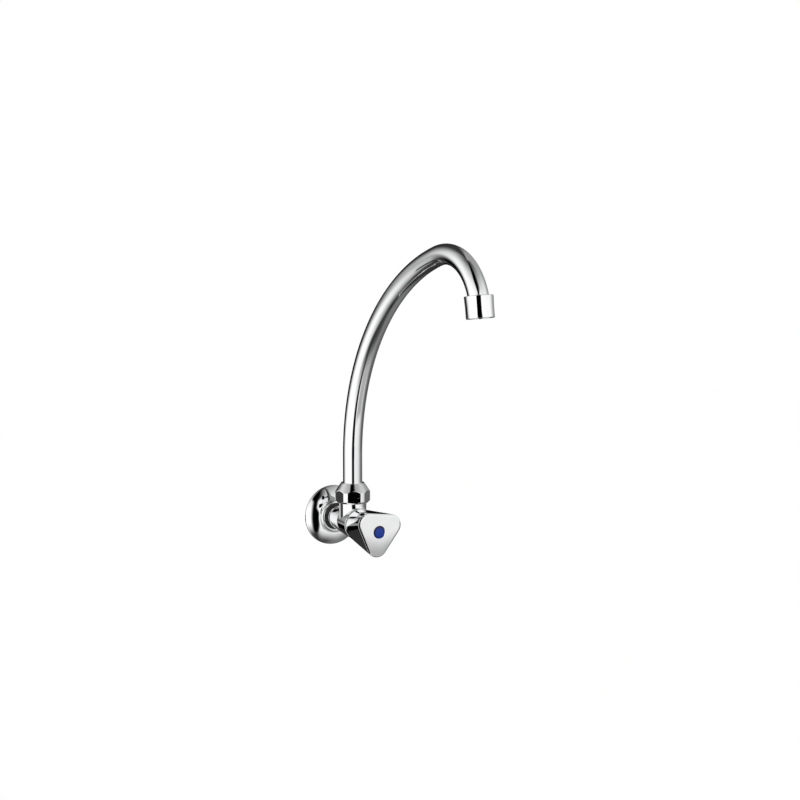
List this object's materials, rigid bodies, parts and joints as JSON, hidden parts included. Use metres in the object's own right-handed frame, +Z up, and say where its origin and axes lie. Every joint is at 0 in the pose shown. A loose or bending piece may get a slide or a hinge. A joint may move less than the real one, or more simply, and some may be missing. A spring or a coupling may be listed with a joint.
{
  "type": "wall-mounted swan-neck tap",
  "caption": "Wall-mounted single cold-water tap with a tall swivelling swan-neck spout, a three-sided metal handle, a round wall rosette and an aerated outlet.",
  "frame": {"origin": "on the wall plane, where the rosette's rim rests, at the centre of the inlet", "axes": "+Z up, +Y into the wall along the inlet, -Y towards the user, +X to the right of a user who faces the wall"},
  "size_m": [0.0585, 0.2756, 0.2937],
  "materials": {
    "chrome": "polished chrome plate on brass",
    "brass": "machined, unplated",
    "rubber": "smooth black nitrile rubber",
    "nylon": "moulded off-white nylon or acetal",
    "steel": "stainless and spring steel, fine turned",
    "fibre": "dark grey vulcanised fibre",
    "blue": "glossy blue plastic"
  },
  "bodies": {
    "tap": {"tap_body": "chrome", "wall_rosette": "chrome", "rosette_ring": "rubber", "headwork_gasket": "fibre", "headwork_housing": "brass", "split_ring": "nylon", "spout_nut": "chrome"},
    "stem": {"valve_spindle": "brass", "thrust_washer": "nylon", "spindle_o_ring_1": "rubber", "spindle_o_ring_2": "rubber", "spindle_circlip": "steel", "handle": "chrome", "handle_screw": "steel", "index_cap": "blue"},
    "plunger": {"valve_plunger": "brass", "valve_washer": "rubber", "washer_screw": "steel"},
    "spout": {"spout_tail": "brass", "tail_o_ring_1": "rubber", "tail_o_ring_2": "rubber", "spout_tube": "chrome", "outlet_ferrule": "chrome", "aerator_gasket": "rubber", "aerator_core": "nylon", "aerator_screen": "steel", "aerator_shell": "chrome"}
  },
  "joints": [
    {"name": "spout_swivel", "type": "hinge", "parent": "tap", "child": "spout", "pos_m": [0, -0.0446, 0], "axis": [0, 0, 1], "range_deg": [-103, 93]},
    {"name": "handle_turn", "type": "hinge", "parent": "tap", "child": "stem", "pos_m": [0, -0.0593, 0], "axis": [0, -1, 0], "range_deg": [0, 1080]},
    {"name": "plunger_slide", "type": "slide", "parent": "tap", "child": "plunger", "axis": [0, -1, 0], "range_m": [0, 0.0045]}
  ],
  "couplings": [
    {"joint": "plunger_slide", "follows": "handle_turn", "m_per_rad": 0.00023873}
  ]
}
